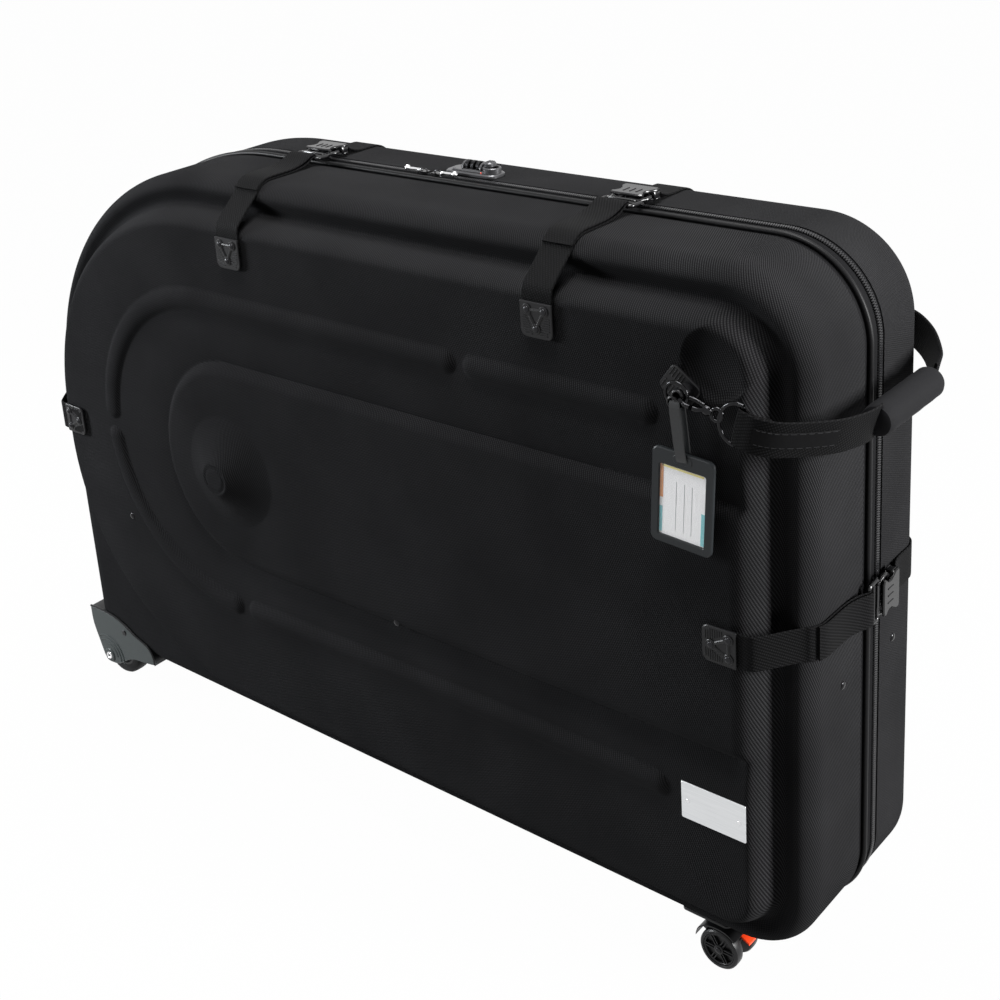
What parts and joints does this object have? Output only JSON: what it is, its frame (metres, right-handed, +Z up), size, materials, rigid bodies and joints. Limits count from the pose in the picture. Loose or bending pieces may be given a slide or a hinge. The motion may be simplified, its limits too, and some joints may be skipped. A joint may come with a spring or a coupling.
{
  "type": "bike travel case",
  "caption": "Black moulded-foam bike travel case: zipped clamshell with buckled straps, side carrying handle, luggage tag, lock, fixed wheels and braked casters.",
  "frame": {"origin": "on the floor, under the middle of the whole case with its wheels and handle", "axes": "+X along the case towards the casters and the handle, -Y out of the front face, +Z up"},
  "size_m": [1.2476, 0.346, 0.8314],
  "materials": {
    "shell_fabric": "black diagonal twill bonded to moulded foam",
    "webbing": "black woven webbing",
    "zip_tape": "black zip tape with moulded teeth",
    "welt_cord": "smooth black piping",
    "black_plastic": "black moulded plastic",
    "buckle_plastic": "glossy black moulded plastic",
    "grey_plastic": "dark grey moulded plastic",
    "tyre_rubber": "black tread",
    "wheel_plastic": "black moulded wheel",
    "bright_metal": "bright plated steel",
    "gunmetal": "dark plated metal",
    "lock_grey": "satin grey zinc",
    "foam": "closed-cell foam",
    "tag_plastic": "dark soft plastic",
    "card_white": "printed card",
    "brake_orange": "orange moulded plastic",
    "board": "thin stiffening board"
  },
  "bodies": {
    "back_half": {"back_shell": "shell_fabric", "back_zip": "zip_tape", "hinge_cloth_back": "webbing", "lock_body": "lock_grey", "back_straps": "webbing", "buckle_bodies": "buckle_plastic", "back_strap_anchors": "black_plastic", "back_fasteners": "bright_metal", "back_inner_strap": "webbing", "back_base_board": "board", "back_wheel_housing": "grey_plastic", "back_wheel_axle": "bright_metal", "back_caster_plate": "black_plastic"},
    "front_half": {"front_shell": "shell_fabric", "front_zip": "zip_tape", "front_welt": "welt_cord", "hinge_cloth_front": "webbing", "front_straps": "webbing", "buckle_tongues": "buckle_plastic", "front_strap_anchors": "black_plastic", "front_fasteners": "bright_metal", "front_inner_strap": "webbing", "front_base_board": "board", "hook_anchor": "black_plastic", "hook_loop": "gunmetal", "badge": "bright_metal", "front_wheel_housing": "grey_plastic", "front_wheel_axle": "bright_metal", "front_caster_plate": "black_plastic"},
    "handle": {"handle_webbing": "webbing", "handle_grip": "foam", "handle_ring": "gunmetal", "snap_hook": "gunmetal"},
    "gate": {"hook_gate": "gunmetal"},
    "tail": {"handle_tail": "webbing"},
    "tag": {"tag_frame": "tag_plastic", "tag_card": "card_white", "tag_strap": "tag_plastic"},
    "button": {"lock_button": "lock_grey"},
    "slider_left": {"zip_slider_left": "bright_metal"},
    "pull_left": {"zip_pull_left": "bright_metal"},
    "slider_right": {"zip_slider_right": "bright_metal"},
    "pull_right": {"zip_pull_right": "bright_metal"},
    "dial_1": {"lock_dial_1": "gunmetal"},
    "dial_2": {"lock_dial_2": "gunmetal"},
    "dial_3": {"lock_dial_3": "gunmetal"},
    "front_wheel": {"front_wheel_hub": "grey_plastic", "front_wheel_tyre": "tyre_rubber"},
    "front_caster": {"front_caster_fork": "black_plastic", "front_caster_axle": "bright_metal"},
    "front_caster_wheel_outer": {"front_caster_wheel_outer": "wheel_plastic"},
    "front_caster_wheel_inner": {"front_caster_wheel_inner": "wheel_plastic"},
    "front_brake": {"front_brake_tab": "brake_orange"},
    "back_wheel": {"back_wheel_hub": "grey_plastic", "back_wheel_tyre": "tyre_rubber"},
    "back_caster": {"back_caster_fork": "black_plastic", "back_caster_axle": "bright_metal"},
    "back_caster_wheel_outer": {"back_caster_wheel_outer": "wheel_plastic"},
    "back_caster_wheel_inner": {"back_caster_wheel_inner": "wheel_plastic"},
    "back_brake": {"back_brake_tab": "brake_orange"}
  },
  "joints": [
    {"name": "front_half_open", "type": "hinge", "parent": "back_half", "child": "front_half", "pos_m": [-0.01579, 0.027, 0.0564], "axis": [1, 0, 0], "range_deg": [0, 95]},
    {"name": "handle_swing", "type": "hinge", "parent": "front_half", "child": "handle", "pos_m": [0.46321, -0.158, 0.701], "axis": [0, 1, 0], "range_deg": [-83, 0]},
    {"name": "handle_tail_swing", "type": "hinge", "parent": "back_half", "child": "tail", "pos_m": [0.46321, 0.158, 0.701], "axis": [0, 1, 0], "range_deg": [-83, 0]},
    {"name": "tag_swing", "type": "hinge", "parent": "front_half", "child": "tag", "pos_m": [0.46321, -0.158, 0.689], "axis": [-1, 0, 0], "range_deg": [0, 90]},
    {"name": "lock_button_slide", "type": "slide", "parent": "back_half", "child": "button", "axis": [1, 0, 0], "range_m": [0, 0.004], "stiffness_N_per_m": 300},
    {"name": "hook_gate_open", "type": "hinge", "parent": "handle", "child": "gate", "pos_m": [0.48291, -0.16625, 0.69609], "axis": [-0.2419, 0, -0.9703], "range_deg": [0, 20], "stiffness_Nm_per_rad": 0.02},
    {"name": "zip_slider_left_run", "type": "slide", "parent": "back_half", "child": "slider_left", "axis": [-1, 0, 0], "range_m": [0, 0.095]},
    {"name": "zip_pull_left_lift", "type": "hinge", "parent": "slider_left", "child": "pull_left", "pos_m": [-0.00839, 0.027, 0.8163], "axis": [0, 1, 0], "range_deg": [0, 85]},
    {"name": "zip_slider_right_run", "type": "slide", "parent": "back_half", "child": "slider_right", "axis": [1, 0, 0], "range_m": [0, 0.195]},
    {"name": "zip_pull_right_lift", "type": "hinge", "parent": "slider_right", "child": "pull_right", "pos_m": [0.02481, 0.027, 0.8163], "axis": [0, -1, 0], "range_deg": [0, 85]},
    {"name": "lock_dial_1_turn", "type": "hinge", "parent": "back_half", "child": "dial_1", "pos_m": [0.05021, 0.048, 0.82345], "axis": [1, 0, 0], "continuous": true},
    {"name": "lock_dial_2_turn", "type": "hinge", "parent": "back_half", "child": "dial_2", "pos_m": [0.05821, 0.048, 0.82345], "axis": [1, 0, 0], "continuous": true},
    {"name": "lock_dial_3_turn", "type": "hinge", "parent": "back_half", "child": "dial_3", "pos_m": [0.06621, 0.048, 0.82345], "axis": [1, 0, 0], "continuous": true},
    {"name": "front_wheel_spin", "type": "hinge", "parent": "front_half", "child": "front_wheel", "pos_m": [-0.58379, -0.084, 0.04], "axis": [0, 1, 0], "continuous": true},
    {"name": "front_caster_swivel", "type": "hinge", "parent": "front_half", "child": "front_caster", "pos_m": [0.43921, -0.076, 0.04], "axis": [0, 0, 1], "continuous": true},
    {"name": "front_caster_wheel_outer_spin", "type": "hinge", "parent": "front_caster", "child": "front_caster_wheel_outer", "pos_m": [0.45721, -0.0915, 0.024], "axis": [0, 1, 0], "continuous": true},
    {"name": "front_caster_wheel_inner_spin", "type": "hinge", "parent": "front_caster", "child": "front_caster_wheel_inner", "pos_m": [0.45721, -0.0605, 0.024], "axis": [0, 1, 0], "continuous": true},
    {"name": "front_brake_press", "type": "hinge", "parent": "front_caster", "child": "front_brake", "pos_m": [0.46729, -0.076, 0.0372], "axis": [0, 1, 0], "range_deg": [0, 18]},
    {"name": "back_wheel_spin", "type": "hinge", "parent": "back_half", "child": "back_wheel", "pos_m": [-0.58379, 0.096, 0.04], "axis": [0, 1, 0], "continuous": true},
    {"name": "back_caster_swivel", "type": "hinge", "parent": "back_half", "child": "back_caster", "pos_m": [0.43921, 0.088, 0.04], "axis": [0, 0, 1], "continuous": true},
    {"name": "back_caster_wheel_outer_spin", "type": "hinge", "parent": "back_caster", "child": "back_caster_wheel_outer", "pos_m": [0.45721, 0.1035, 0.024], "axis": [0, 1, 0], "continuous": true},
    {"name": "back_caster_wheel_inner_spin", "type": "hinge", "parent": "back_caster", "child": "back_caster_wheel_inner", "pos_m": [0.45721, 0.0725, 0.024], "axis": [0, 1, 0], "continuous": true},
    {"name": "back_brake_press", "type": "hinge", "parent": "back_caster", "child": "back_brake", "pos_m": [0.46729, 0.088, 0.0372], "axis": [0, 1, 0], "range_deg": [0, 18]}
  ],
  "couplings": [
    {"joint": "handle_tail_swing", "follows": "handle_swing", "ratio": 1}
  ]
}
